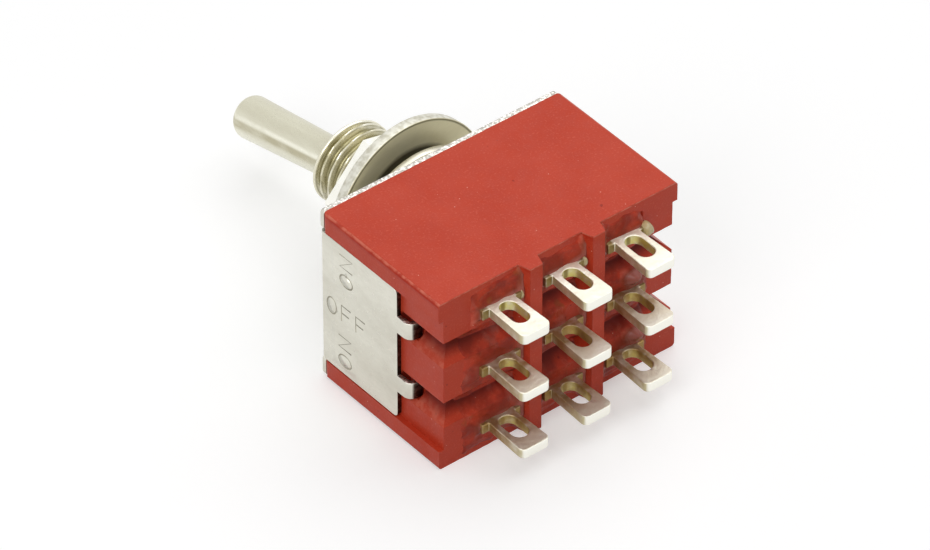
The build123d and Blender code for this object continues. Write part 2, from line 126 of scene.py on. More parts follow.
class Finish:
    """One node material. Most of its methods add nodes and give back the socket of the result."""

    def __init__(self, name):
        self.material = bpy.data.materials.new(name)
        self.material.use_nodes = True
        tree = self.material.node_tree
        self.nodes = tree.nodes
        self.links = tree.links
        self.shader = self.nodes["Principled BSDF"]
        self.coordinates = self.nodes.new("ShaderNodeTexCoord")
        scale = self.nodes.new("ShaderNodeVectorMath")
        scale.operation = "SCALE"
        scale.inputs["Scale"].default_value = 1 / MM
        self.links.new(self.coordinates.outputs["Object"], scale.inputs[0])
        self.place = scale.outputs["Vector"]

    def join(self, socket, value):
        """Feeds a socket with another node's output, or sets it to a plain value."""
        if isinstance(value, bpy.types.NodeSocket):
            self.links.new(value, socket)
        else:
            socket.default_value = value

    def maths(self, operation, first, second=0.0):
        """One operation on one number or two."""
        node = self.nodes.new("ShaderNodeMath")
        node.operation = operation
        self.join(node.inputs[0], first)
        self.join(node.inputs[1], second)
        return node.outputs["Value"]

    def absolute(self, value):
        """A number without its sign."""
        return self.maths("ABSOLUTE", value)

    def product(self, first, *others):
        """Product of masks and plain shares."""
        for other in others:
            first = self.maths("MULTIPLY", first, other)
        return first

    def span(self, value, low, high, to_low=0.0, to_high=1.0):
        """Maps low..high to to_low..to_high, held at both ends; low may be the greater one."""
        node = self.nodes.new("ShaderNodeMapRange")
        self.join(node.inputs["Value"], value)
        node.inputs["From Min"].default_value = low
        node.inputs["From Max"].default_value = high
        node.inputs["To Min"].default_value = to_low
        node.inputs["To Max"].default_value = to_high
        return node.outputs["Result"]

    def band(self, value, rise, fall):
        """1 in a band and 0 outside; rise and fall name the values where each side is 0 and 1."""
        return self.product(self.span(value, *rise), self.span(value, *fall))

    def noise(self, scale, detail=3.0, roughness=0.5, stretch=(1, 1, 1), shift=0.0):
        """Noise from 0 to 1; scale is in features per millimetre."""
        mapping = self.nodes.new("ShaderNodeMapping")
        mapping.inputs["Scale"].default_value = stretch
        mapping.inputs["Location"].default_value = (shift, shift, shift)
        self.links.new(self.place, mapping.inputs["Vector"])
        node = self.nodes.new("ShaderNodeTexNoise")
        node.inputs["Scale"].default_value = scale
        node.inputs["Detail"].default_value = detail
        node.inputs["Roughness"].default_value = roughness
        self.links.new(mapping.outputs["Vector"], node.inputs["Vector"])
        return node.outputs["Fac"]

    def specks(self, per_mm, radius):
        """1 inside small scattered round specks and 0 outside; radius is in cells."""
        node = self.nodes.new("ShaderNodeTexVoronoi")
        node.inputs["Scale"].default_value = per_mm
        self.links.new(self.place, node.inputs["Vector"])
        return self.span(node.outputs["Distance"], radius, radius * 0.5)

    def along(self, axis):
        """The X, Y or Z of the point, in millimetres."""
        node = self.nodes.new("ShaderNodeSeparateXYZ")
        self.links.new(self.place, node.inputs[0])
        return node.outputs[axis]

    def facing(self, axis):
        """The X, Y or Z part of the surface's normal, in the frame's own axes."""
        node = self.nodes.new("ShaderNodeSeparateXYZ")
        self.links.new(self.coordinates.outputs["Normal"], node.inputs[0])
        return node.outputs[axis]

    def from_pole(self):
        """The point's distance across from the middle of the nearest pole, in millimetres."""
        wrap = self.maths("WRAP", self.along("X"), POLE_PITCH / 2)
        wrap.node.inputs[2].default_value = -POLE_PITCH / 2
        return self.absolute(wrap)

    def off_axis(self):
        """The point's distance from the bushing's axis, in millimetres."""
        flat = self.nodes.new("ShaderNodeVectorMath")
        flat.operation = "MULTIPLY"
        flat.inputs[1].default_value = (1, 0, 1)
        self.links.new(self.place, flat.inputs[0])
        length = self.nodes.new("ShaderNodeVectorMath")
        length.operation = "LENGTH"
        self.links.new(flat.outputs["Vector"], length.inputs[0])
        return length.outputs["Value"]

    def blend(self, factor, first, second):
        """A colour that goes from the first to the second as the factor goes from 0 to 1."""
        node = self.nodes.new("ShaderNodeMix")
        node.data_type = "RGBA"
        self.join(node.inputs[MIX_FACTOR], factor)
        self.join(node.inputs[MIX_FIRST], first)
        self.join(node.inputs[MIX_SECOND], second)
        return node.outputs[MIX_RESULT]

    def tone(self):
        """The socket that feeds the base colour so far."""
        return self.shader.inputs["Base Color"].links[0].from_socket

    def colour(self, value):
        """Sets what the base colour is fed by."""
        self.join(self.shader.inputs["Base Color"], value)

    def gloss(self, roughness):
        """Sets what the roughness is fed by."""
        self.join(self.shader.inputs["Roughness"], roughness)

    def bump(self, height, depth_mm):
        """Lifts the surface by height times depth_mm, on top of an earlier bump if there is one."""
        node = self.nodes.new("ShaderNodeBump")
        node.inputs["Strength"].default_value = 1.0
        node.inputs["Distance"].default_value = depth_mm * MM
        self.join(node.inputs["Height"], height)
        normal = self.shader.inputs["Normal"]
        if normal.is_linked:
            self.links.new(normal.links[0].from_socket, node.inputs["Normal"])
        self.links.new(node.outputs["Normal"], normal)


# places in millimetres, each with where its mask is 0 and where it is 1: in height, from a groove's
# bottom, from a pole's middle, by how far the resin stands out, along the bushing or from its axis
DARK_BAND_TOP = (CASE_TOP - 0.5, CASE_TOP - 0.1)
WORN_TOP = (CASE_TOP - 0.12, CASE_TOP - 0.06)
GROOVE_BOTTOM = (0.75 * GROOVE_HALF, 0.2 * GROOVE_HALF)
BY_RIB = (1.2, 1.75)
BETWEEN_ENDS = (POLE_PITCH + 1.3, POLE_PITCH + 0.9)
THICK_RESIN = (0.08, 0.35)
PROUD_RESIN = (0.28, 0.44)
FLANGE_REAR = (bracket_high.y - 4.0, bracket_high.y - 5.0)
EYELET_WALL = (EYELET_HALF + 0.14, EYELET_HALF + 0.08)
PAST_LUG_TIP = (LUG_TIP + 0.4, LUG_TIP + 0.6)
LUG_ROOT = (CASE_BACK - SHOULDER_REACH - 0.15, CASE_BACK - SHOULDER_REACH - 0.05)
BESIDE_BLADE = (BLADE_HALF, BLADE_HALF + 0.15)
STAIN_AND_SHADE_LUG = (LUG_TIP + 0.2, LUG_TIP + 2.2)
BELOW_UPPER_ROW = (3.2, 2.4)
LUG_END = (LUG_TIP + 0.5, LUG_TIP + 0.35)
THREAD_VALLEY = (THREAD_RADIUS - 0.04, THREAD_RADIUS - 0.13)
BURR_INNER = (WASHER_RADIUS - 0.22, WASHER_RADIUS - 0.14)
BURR_OUTER = (WASHER_RADIUS - 0.04, WASHER_RADIUS - 0.1)
WASHER_GAP_SHADE = (4.6, 4.25)
# the same for the four edges of the faint panel round each ON of the flange
PANEL_INNER = (1.5, 1.9)
PANEL_OUTER = (4.75, 4.45)
PANEL_REAR = (-3.75, -3.45)
PANEL_FRONT = (-1.1, -1.4)
PANEL_RISE = 0.05


def groove_shade(finish, red):
    """Darkens a red towards the bottom of the V grooves and on whatever faces down."""
    slope = finish.absolute(finish.facing("Z"))
    flank = finish.band(slope, (0.45, 0.6), (0.95, 0.85))
    height = finish.absolute(finish.along("Z"))
    from_bottom = finish.absolute(finish.maths("SUBTRACT", height, TIER_GROOVE_Z))
    deep = finish.span(from_bottom, *GROOVE_BOTTOM, 0.0, 0.9)
    red = finish.blend(finish.product(flank, deep), red, srgb(108, 16, 6))
    under = finish.span(finish.facing("Z"), -0.3, -0.65, 0.0, 0.75)
    return finish.blend(under, red, srgb(112, 18, 6))


def worn_edges(finish, red):
    """Darkens the ends in a band just below their top, and wears the top edge and the corners pale.
    """
    endways = finish.absolute(finish.facing("X"))
    height = finish.along("Z")
    dark_band = finish.product(
        finish.span(endways, 0.2, 0.5),
        finish.span(height, *DARK_BAND_TOP),
        finish.span(finish.noise(1.3, 3.0), 0.35, 0.6, 0.2, 0.9),
    )
    red = finish.blend(dark_band, red, srgb(176, 34, 14))
    chipped = finish.span(finish.noise(1.9, 3.0, shift=6.0), 0.4, 0.6, 0.15, 0.85)
    top_edge = finish.product(
        finish.span(height, *WORN_TOP),
        finish.span(finish.facing("Z"), 0.97, 0.88),
        chipped,
    )
    red = finish.blend(top_edge, red, srgb(222, 124, 102))
    corner = finish.band(endways, (0.3, 0.45), (0.9, 0.8))
    corner = finish.product(corner, finish.product(chipped, 0.7))
    return finish.blend(corner, red, srgb(214, 112, 90))


def moulded_red(finish):
    """Colour of the red thermoset: mottled, lightly speckled, with pale specks painted as glints,
    pits and wear.
    """
    mottle = finish.span(finish.noise(0.35, 4.0), 0.35, 0.65)
    red = finish.blend(mottle, srgb(193, 60, 34), srgb(199, 67, 42))
    grain = finish.span(finish.noise(7.0, 2.0), 0.56, 0.72, 0.0, 0.4)
    red = finish.blend(grain, red, srgb(214, 98, 74))
    # pale specks painted into the colour as small glints
    glint_speck = finish.specks(1.1, 0.045)
    red = finish.blend(glint_speck, red, srgb(238, 176, 158))
    pit = finish.span(finish.noise(2.3, 1.0, shift=9.0), 0.76, 0.82, 0.0, 0.7)
    red = finish.blend(pit, red, srgb(140, 30, 12))
    return worn_edges(finish, red)


def red_plastic():
    """Moulded red thermoset with a dull sheen."""
    finish = Finish("red_plastic")
    finish.colour(groove_shade(finish, moulded_red(finish)))
    finish.gloss(finish.span(finish.noise(1.4), 0.3, 0.7, 0.36, 0.5))
    finish.shader.inputs["Specular IOR Level"].default_value = 0.22
    finish.bump(finish.noise(9.0, 3.0), 0.012)
    return finish.material


def gloss_and_sheen_patches(finish):
    """Mask of the patches where the resin is glossier and a pinkish sheen is painted, with more of
    them beside the two ribs.
    """
    by_rib = finish.span(finish.from_pole(), *BY_RIB, 0.0, 0.2)
    between_ends = finish.span(finish.absolute(finish.along("X")), *BETWEEN_ENDS)
    drawn = finish.noise(0.8, 2.0, stretch=(1.1, 1, 0.8), shift=2.0)
    gloss_sheen = finish.maths("ADD", drawn, finish.product(by_rib, between_ends))
    return finish.span(gloss_sheen, 0.59, 0.7)


def dark_resin():
    """Potting resin: a blotched red skin, brown where it is thick, glossier with a painted pale
    highlight where it stands proud, with amber patches, and glossier patches with a painted pinkish
    sheen."""
    finish = Finish("dark_resin")
    red = moulded_red(finish)
    out = finish.maths("SUBTRACT", CASE_BACK, finish.along("Y"))
    blotch = finish.span(finish.noise(0.7, 3.0), 0.42, 0.6, 0.0, 0.7)
    red = finish.blend(blotch, red, srgb(128, 30, 14))
    thick = finish.span(out, *THICK_RESIN, 0.0, 0.75)
    red = finish.blend(thick, red, srgb(112, 52, 28))
    # the pale pink where the resin stands proud is a painted highlight on its menisci and drips
    proud = finish.span(out, *PROUD_RESIN, 0.0, 0.8)
    red = finish.blend(proud, red, srgb(174, 100, 90))
    amber = finish.span(finish.noise(1.0, 2.0, shift=4.0), 0.62, 0.74, 0.0, 0.45)
    red = finish.blend(amber, red, srgb(140, 84, 40))
    gloss_sheen = gloss_and_sheen_patches(finish)
    red = groove_shade(finish, red)
    # the blend towards pink in the glossy patches is a painted sheen
    finish.colour(finish.blend(finish.product(gloss_sheen, 0.3), red, srgb(186, 96, 74)))
    finish.gloss(finish.span(finish.maths("ADD", gloss_sheen, proud), 0.0, 1.0, 0.4, 0.12))
    finish.shader.inputs["Specular IOR Level"].default_value = 0.2
    finish.bump(finish.noise(1.4, 2.0), 0.05)
    return finish.material


def metal(name, bright, dull, low_gloss, high_gloss, grain=(1, 1, 1), scratch=0.004):
    """Plated metal: patches between two sRGB tones, with fine marks drawn out by grain."""
    finish = Finish(name)
    finish.shader.inputs["Metallic"].default_value = 1.0
    patches = finish.span(finish.noise(0.4, 4.0, 0.6, stretch=grain), 0.35, 0.68)
    marks = finish.noise(6.0, 3.0, 0.6, stretch=grain)
    tone = finish.blend(patches, srgb(*bright), srgb(*dull))
    tone = finish.blend(finish.span(marks, 0.55, 0.75, 0.0, 0.35), tone, srgb(*dull))
    finish.colour(tone)
    finish.gloss(finish.span(marks, 0.3, 0.7, low_gloss, high_gloss))
    finish.bump(marks, scratch)
    return finish


def sheet_nickel():
    """Satin sheet: speckled upper and lower rims, sheared rear edges painted dark, partly as the
    shade of the gap to the case, a panel by each ON.
    """
    finish = metal("sheet_nickel", (222, 220, 208), (206, 203, 190), 0.26, 0.42, (1, 0.5, 1))
    rim = finish.span(finish.absolute(finish.facing("Z")), 0.8, 0.9)
    speckle = finish.span(finish.noise(5.0, 3.0, 0.7), 0.45, 0.62)
    rough = finish.blend(speckle, srgb(158, 154, 146), srgb(240, 238, 232))
    tone = finish.blend(rim, finish.tone(), rough)
    rear = finish.product(
        finish.span(finish.facing("Y"), -0.8, -0.9),
        finish.span(finish.along("Y"), *FLANGE_REAR),
    )
    burr = finish.span(finish.noise(2.5, 3.0), 0.45, 0.65, 0.0, 0.35)
    # the rear edge's dark tone is its sheared metal with the shade of the gap to the case painted
    # in
    edge_and_gap_shade = finish.blend(burr, srgb(58, 42, 36), srgb(150, 140, 126))
    finish.colour(finish.blend(rear, tone, edge_and_gap_shade))
    panel = finish.product(
        finish.band(finish.absolute(finish.along("Z")), PANEL_INNER, PANEL_OUTER),
        finish.span(finish.along("Y"), *PANEL_REAR),
        finish.span(finish.along("Y"), *PANEL_FRONT),
    )
    finish.bump(panel, PANEL_RISE)
    return finish.material


def tinned_brass():
    """Silvered strip: bright faces, tips painted near white as a highlight, yellow eyelet walls,
    olive shoulders with painted shade, brown stain towards the roots with painted shade, more of it
    on the lower rows.
    """
    finish = metal("tinned_brass", (236, 235, 223), (222, 217, 198), 0.4, 0.55, scratch=0.01)
    finish.shader.inputs["Metallic"].default_value = 0.8
    along = finish.along("Y")
    from_pole = finish.from_pole()
    upright = finish.span(finish.absolute(finish.facing("Z")), 0.6, 0.3)
    sideways = finish.span(finish.absolute(finish.facing("X")), 0.6, 0.85)
    patchy = finish.span(finish.noise(1.6, 3.0), 0.3, 0.6, 0.3, 1.0)
    bare = finish.product(upright, sideways, patchy, 0.8)
    tone = finish.blend(bare, finish.tone(), srgb(196, 184, 140))
    eyelet = finish.product(
        upright,
        finish.span(from_pole, *EYELET_WALL),
        finish.span(along, *PAST_LUG_TIP),
        patchy,
    )
    tone = finish.blend(eyelet, tone, srgb(214, 204, 120))
    root = finish.span(along, *LUG_ROOT)
    square_on = finish.span(finish.facing("Y"), -0.93, -0.98)
    # olive on the root faces, darkened as painted shade
    olive = finish.product(root, square_on, 0.9)
    tone = finish.blend(olive, tone, srgb(128, 112, 50))
    # olive shoulders beside the blade, darkened as painted shade at the root
    shoulder = finish.product(
        root,
        finish.span(from_pole, *BESIDE_BLADE),
        finish.span(finish.noise(1.7, 3.0, shift=3.0), 0.3, 0.55, 0.35, 0.95),
    )
    tone = finish.blend(shoulder, tone, srgb(132, 112, 64))
    # brown stain with painted shade, darker towards the root and on the rows below the upper one
    stain_and_shade = finish.product(
        finish.span(along, *STAIN_AND_SHADE_LUG),
        finish.span(finish.along("Z"), *BELOW_UPPER_ROW, 0.15, 1.0),
        finish.span(finish.noise(1.1, 3.0), 0.3, 0.6, 0.2, 0.9),
    )
    tone = finish.blend(stain_and_shade, tone, srgb(156, 124, 70))
    # the tip faces are painted near white as a highlight
    tip = finish.product(
        finish.span(finish.facing("Y"), -0.5, -0.85),
        finish.span(along, *LUG_END),
    )
    finish.colour(finish.blend(tip, tone, srgb(254, 253, 243)))
    finish.bump(finish.noise(2.6, 3.0, 0.6), 0.03)
    return finish.material


def lever_painted_reflections():
    """Turned and plated lever with reflections painted by the way each face turns: a dull streak
    beside a pale glint, a dull crown, a pale underside.
    """
    finish = metal("lever_nickel", (224, 222, 203), (210, 206, 186), 0.24, 0.38, (3, 0.2, 3))
    upward = finish.facing("Z")
    ragged = finish.span(finish.noise(1.2, 3.0, stretch=(1, 0.4, 1)), 0.3, 0.6, 0.2, 1.0)
    # a dull streak painted where the side would mirror something dark
    dull = finish.product(finish.band(upward, (-0.12, 0.12), (0.42, 0.3)), ragged)
    tone = finish.blend(dull, finish.tone(), srgb(186, 180, 154))
    # a pale streak painted as a glint
    pale = finish.product(finish.band(upward, (0.34, 0.44), (0.6, 0.5)), ragged)
    tone = finish.blend(pale, tone, srgb(240, 238, 222))
    # the crown painted duller as a reflection
    crown_reflection = finish.span(upward, 0.6, 0.8, 0.0, 0.4)
    tone = finish.blend(crown_reflection, tone, srgb(194, 190, 168))
    # the underside painted pale as a reflection
    underside_reflection = finish.span(upward, 0.1, -0.35, 0.0, 0.8)
    finish.colour(finish.blend(underside_reflection, tone, srgb(236, 234, 218)))
    return finish.material


def worn_thread():
    """Plated thread: bright crests and end, olive valleys."""
    finish = metal("thread_nickel", (238, 235, 220), (214, 208, 180), 0.18, 0.32, (1, 3, 1))
    valley = finish.span(finish.off_axis(), *THREAD_VALLEY)
    beside = finish.span(finish.absolute(finish.facing("Y")), 0.95, 0.85)
    # darker olive towards the bottom of the valleys
    valley_tone = finish.blend(finish.noise(1.5, 2.0), srgb(162, 156, 122), srgb(124, 116, 80))
    finish.colour(finish.blend(finish.product(valley, beside), finish.tone(), valley_tone))
    return finish.material


def tarnished_washer():
    """Plain washer: dull faces with a dark line of burr at their edge, a chipped pale rim, and a
    painted shadow on its back round the bushing, the shade of the narrow gap by the lock washer."""
    finish = metal("washer_nickel", (236, 230, 200), (222, 215, 184), 0.34, 0.5, (0.6, 0.6, 2))
    finish.shader.inputs["Metallic"].default_value = 0.6
    radius = finish.off_axis()
    burr = finish.product(finish.band(radius, BURR_INNER, BURR_OUTER), 0.75)
    tone = finish.blend(burr, finish.tone(), srgb(96, 88, 56))
    rim = finish.span(finish.absolute(finish.facing("Y")), 0.75, 0.45)
    chips = finish.span(finish.noise(2.6, 3.0), 0.35, 0.6)
    bright = finish.blend(chips, srgb(196, 192, 174), srgb(226, 224, 212))
    tone = finish.blend(rim, tone, bright)
    # a dark ring painted on the back as the shadow of the narrow gap by the lock washer
    back = finish.span(finish.facing("Y"), -0.7, -0.9)
    gap_shade = finish.product(back, finish.span(radius, *WASHER_GAP_SHADE, 0.0, 0.92))
    finish.colour(finish.blend(gap_shade, tone, srgb(62, 54, 32)))
    return finish.material


def plain_metal(name, bright, dull, low_gloss, high_gloss):
    """The material of a metal that needs nothing more."""
    return metal(name, bright, dull, low_gloss, high_gloss).material


def white_nylon():
    """Off-white moulded plastic."""
    finish = Finish("white_nylon")
    patches = finish.span(finish.noise(0.8), 0.35, 0.65)
    finish.colour(finish.blend(patches, srgb(236, 234, 226), srgb(222, 219, 208)))
    finish.gloss(finish.span(finish.noise(3.0), 0.3, 0.7, 0.4, 0.55))
    finish.bump(finish.noise(8.0), 0.006)
    return finish.material


def amber_flux():
    """Clear amber drop of flux."""
    finish = Finish("amber_flux")
    finish.colour(finish.blend(finish.noise(1.5), srgb(232, 222, 176), srgb(206, 184, 126)))
    finish.gloss(finish.span(finish.noise(2.0), 0.3, 0.7, 0.06, 0.14))
    finish.shader.inputs["Transmission Weight"].default_value = 0.3
    finish.bump(finish.noise(3.0), 0.01)
    return finish.material


# the finish of each of the record's material slots
FINISHES = {
    "case": red_plastic(),
    "resin": dark_resin(),
    "bracket": sheet_nickel(),
    "bushing": worn_thread(),
    "lever": lever_painted_reflections(),
    "pivot_pin": plain_metal("pin_steel", (206, 206, 206), (176, 176, 178), 0.2, 0.35),
    "actuator": white_nylon(),
    "plunger": plain_metal("plain_brass", (222, 196, 128), (196, 166, 100), 0.25, 0.4),
    "spring": plain_metal("spring_steel", (196, 196, 198), (150, 150, 154), 0.25, 0.4),
    "rocker": plain_metal("silver_contact", (232, 230, 224), (198, 190, 172), 0.2, 0.4),
    "terminal": tinned_brass(),
    "nut": plain_metal("nut_nickel", (254, 253, 246), (240, 238, 226), 0.2, 0.34),
    "lock_washer": plain_metal("lock_nickel", (214, 210, 196), (186, 182, 164), 0.25, 0.4),
    "flat_washer": tarnished_washer(),
}
# the dull bottom of the stamped letters, and the drops on the lugs
PRESSED = plain_metal("pressed_mark", (182, 178, 162), (140, 136, 120), 0.4, 0.6)
AMBER = amber_flux()


# ---- meshes -------------------------------------------------------------------------------

# widths of the rounded edges
CASE_EDGE = 0.09
LUG_EDGE = 0.09
SHEET_EDGE = 0.05
NUT_EDGE = 0.05
WASHER_EDGE = 0.07
TOOTH_EDGE = 0.04
# roughen's step, jitter and seed for the case
CASE_WEAR = (0.45, 0.014, 5)
# points this close are one point
WELD_GAP = 0.002
# angles in degrees between two faces: the most within one flat face, the least at an edge that
# wears and at one that is rounded, and the most that is shaded smooth over rounded edges, on the
# thread and on resin and flux
FLAT_ANGLE = 0.4
WEAR_ANGLE = 30
ROUNDED_ANGLE = 25
EDGE_SHADING = 40
THREAD_SHADING = 50
POURED_SHADING = 80


def new_piece(name, data, finish):
    """An object in the scene, in the finish given unless its data has one."""
    piece = bpy.data.objects.new(name, data)
    bpy.context.scene.collection.objects.link(piece)
    if not data.materials:
        data.materials.append(finish)
    return piece


def give(piece, body, slot_name, *nodes):
    """Puts a piece on its body, in place of the CAD nodes named; slot_name is not used."""
    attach(piece, body)
    if nodes:
        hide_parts(*nodes)
    return piece


def write_mesh(work, mesh):
    """Writes the worked faces into a mesh, frees them and gives back the mesh."""
    work.to_mesh(mesh)
    work.free()
    return mesh


def evaluated_mesh(piece):
    """A new mesh of a piece as it shows, with its bevels and modifiers applied."""
    graph = bpy.context.evaluated_depsgraph_get()
    return bpy.data.meshes.new_from_object(piece.evaluated_get(graph))


def bake(piece):
    """Applies a piece's modifiers to its mesh."""
    mesh = evaluated_mesh(piece)
    piece.modifiers.clear()
    piece.data = mesh


def smooth_over(mesh, angle):
    """Smooth shading, apart from edges sharper than angle."""
    mesh.polygons.foreach_set("use_smooth", [True] * len(mesh.polygons))
    mesh.set_sharp_from_angle(angle=math.radians(angle))


def settle_shading(piece):
    """Smooth shading in which flat faces stay flat beside their rounded edges."""
    smooth_over(piece.data, EDGE_SHADING)
    weighted = piece.modifiers.new("shading", "WEIGHTED_NORMAL")
    weighted.keep_sharp = True
    weighted.weight = 100
    bake(piece)


def copied_mesh(node, name):
    """A clean copy of a CAD node's mesh: welded, with its flat faces whole again."""
    work = bmesh.new()
    work.from_mesh(frame["nodes"][node].data)
    bmesh.ops.remove_doubles(work, verts=work.verts, dist=WELD_GAP * MM)
    bmesh.ops.dissolve_limit(
        work,
        angle_limit=math.radians(FLAT_ANGLE),
        verts=work.verts,
        edges=work.edges,
    )
    return write_mesh(work, bpy.data.meshes.new(name))


def roughen(mesh, step_mm, jitter_mm, seed):
    """Breaks long sharp edges into short runs and nudges their points, as worn mouldings are."""
    draw = random.Random(seed)
    work = bmesh.new()
    work.from_mesh(mesh)
    for edge in list(work.edges):
        runs = int(edge.calc_length() / (step_mm * MM))
        sharp = edge.is_manifold and edge.calc_face_angle(0) > math.radians(WEAR_ANGLE)
        if runs > 1 and sharp:
            bmesh.ops.subdivide_edges(work, edges=[edge], cuts=runs - 1)
    for vert in work.verts:
        if len(vert.link_edges) == 2:
            nudge = Vector([draw.uniform(-1, 1) for _ in range(3)])
            vert.co += nudge * jitter_mm * MM
    write_mesh(work, mesh)


def softened(node, name, width_mm, body, slot_name, segments=2, wear=None):
    """Stands in for a CAD node, its sharp edges rounded by width_mm; wear is roughen's sizes."""
    mesh = copied_mesh(node, name)
    if wear:
        roughen(mesh, *wear)
    piece = new_piece(name, mesh, FINISHES[slot_name])
    bevel = piece.modifiers.new("edges", "BEVEL")
    bevel.width = width_mm * MM
    bevel.segments = segments
    bevel.limit_method = "ANGLE"
    bevel.angle_limit = math.radians(ROUNDED_ANGLE)
    bake(piece)
    settle_shading(piece)
    return give(piece, body, slot_name, node)


# ---- threaded bushing ---------------------------------------------------------------------

THREAD_PITCH = 0.75
THREAD_DEPTH = 0.42
# shares of half a pitch that a crest and a flank take, the rest being the valley
CREST_SHARE = 0.08
FLANK_SHARE = 0.5
# a crest's place along the bushing, which sets the turn at which the thread starts
THREAD_CREST = BUSHING_END - 0.5
BUSHING_CHAMFER = 0.15
# the plain ring at the end, and how far the thread takes to fall away from it
END_RING = 0.3
RING_SLOPE = 0.12
ROUND_STEPS = 120
PITCH_STEPS = 12
FRONT_MARGIN = 0.01


def held(value):
    """A share kept between 0 and 1."""
    return min(1.0, max(0.0, value))


def thread_radius(turn, y):
    """Radius of the right-hand thread at a turn (0 to 1) and a place along the bushing."""
    phase = (y - THREAD_CREST) / THREAD_PITCH + turn
    off_crest = abs(phase - round(phase)) * 2
    flank = held((off_crest - CREST_SHARE) / FLANK_SHARE)
    from_ring = held((BUSHING_END - END_RING - y) / RING_SLOPE)
    radius = THREAD_RADIUS - THREAD_DEPTH * min(flank, from_ring)
    chamfer = THREAD_RADIUS - max(0.0, y - (BUSHING_END - BUSHING_CHAMFER))
    return min(radius, chamfer)


def thread_faces(work):
    """Adds the threaded outside, from the bracket to the bushing's end."""
    rows = round(BUSHING_END / THREAD_PITCH * PITCH_STEPS)
    rings = []
    for row in range(rows + 1):
        y = BUSHING_END * row / rows
        ring = []
        for step in range(ROUND_STEPS):
            turn = step / ROUND_STEPS
            angle = 2 * math.pi * turn
            radius = thread_radius(turn, y)
            point = Vector((radius * math.cos(angle), y, radius * math.sin(angle)))
            ring.append(work.verts.new(point * MM))
        rings.append(ring)
    for lower, upper in zip(rings, rings[1:]):
        for step in range(ROUND_STEPS):
            after = (step + 1) % ROUND_STEPS
            work.faces.new((lower[step], upper[step], upper[after], lower[after]))


def on_outside(face):
    """Whether a face belongs to the bushing's plain outside in front of the bracket."""
    centre = face.calc_center_median()
    in_front = centre.y > FRONT_MARGIN * MM
    beside = abs(face.normal.y) < 0.9
    radius = math.hypot(centre.x, centre.z)
    return in_front and beside and radius > (THREAD_RADIUS - BUSHING_CHAMFER) * MM


def threaded_bushing():
    """The CAD's bushing with its plain outside taken off and the thread put on."""
    mesh = copied_mesh("bushing", "threaded_bushing")
    work = bmesh.new()
    work.from_mesh(mesh)
    outside = [face for face in work.faces if on_outside(face)]
    bmesh.ops.delete(work, geom=outside, context="FACES")
    thread_faces(work)
    smooth_over(write_mesh(work, mesh), THREAD_SHADING)
    piece = new_piece("threaded_bushing", mesh, FINISHES["bushing"])
    give(piece, "case", "bushing", "bushing")


# ---- bracket with its words ---------------------------------------------------------------

LETTER_H = 1.25
LETTER_W = 0.92
LETTER_STEP = 1.42
STROKE_R = 0.06
STROKE_SINK = 0.04
# strokes of each letter, in shares of its width and height
ROUND_LETTER = [
    (0.5 + 0.5 * math.cos(math.radians(angle)), 0.5 + 0.5 * math.sin(math.radians(angle)))
    for angle in range(0, 361, 20)
]
LETTERS = {
    "O": [ROUND_LETTER],
    "N": [[(0, 0), (0, 1), (1, 0), (1, 1)]],
    "F": [[(0, 0), (0, 1), (1, 1)], [(0, 0.52), (0.8, 0.52)]],
}
UP = Vector((0, 0, 1))
FORWARD = Vector((0, 1, 0))
# each word, the y and z of its first letter's lower left corner on the flange, the way it runs and
# the way its tops point
WORDS = [
    ("ON", -3.25, 2.05, UP, FORWARD),
    ("ON", -3.05, -4.5, UP, FORWARD),
    ("OFF", -0.7, -0.9, -FORWARD, UP),
]


def stroke_bar(points):
    """A round-ended bar along a few points, to press a stroke into the sheet."""
    curve = bpy.data.curves.new("stroke", "CURVE")
    curve.dimensions = "3D"
    curve.bevel_depth = STROKE_R * MM
    curve.bevel_resolution = 2
    curve.use_fill_caps = True
    spline = curve.splines.new("POLY")
    spline.points.add(len(points) - 1)
    for point, place in zip(spline.points, points):
        point.co = (*(Vector(place) * MM), 1)
    line = new_piece("stroke_line", curve, PRESSED)
    mesh = evaluated_mesh(line)
    bpy.data.objects.remove(line)
    return new_piece("stroke_bar", mesh, PRESSED)


def word_strokes(word, start, along, upright):
    """Strokes of a word on the flange; start is the lower left corner of its first letter."""
    strokes = []
    for place, letter in enumerate(word):
        corner = start + along * (LETTER_STEP * place)
        for line in LETTERS[letter]:
            strokes.append(
                [corner + along * (x * LETTER_W) + upright * (y * LETTER_H) for x, y in line]
            )
    return strokes


def stamp(piece, stroke):
    """Cuts one stroke into a piece, its bottom in the dull finish."""
    bar = stroke_bar(stroke)
    cut = piece.modifiers.new("stamp", "BOOLEAN")
    cut.operation = "DIFFERENCE"
    cut.solver = "EXACT"
    cut.use_self = True
    cut.material_mode = "TRANSFER"
    cut.object = bar
    bake(piece)
    bpy.data.objects.remove(bar)


def lettered_bracket():
    """Bent sheet with ON, OFF and ON stamped into the flange beside the three positions."""
    piece = softened("frame_bracket", "stamped_bracket", SHEET_EDGE, "case", "bracket")
    stroke_x = bracket_low.x - STROKE_R + STROKE_SINK
    for word, y, z, along, upright in WORDS:
        for stroke in word_strokes(word, Vector((stroke_x, y, z)), along, upright):
            stamp(piece, stroke)
    settle_shading(piece)


# ---- resin --------------------------------------------------------------------------------

RESIN_STEP = 0.08
RESIN_MARGIN = 0.12
# from a pole's middle to the foot of a rib, and to the sheet's edge inside that rib
RIB_INSET = 1.72
RIB_REACH = 1.84
LUG_HALF_X = 1.5
LUG_HALF_Z = 0.36
# how far each pole's sheet reaches left and right of its middle, at a rib or on an open side
RESIN_SPREAD = {"1": (-2.9, RIB_REACH), "2": (-RIB_REACH, RIB_REACH), "3": (-RIB_REACH, 2.3)}
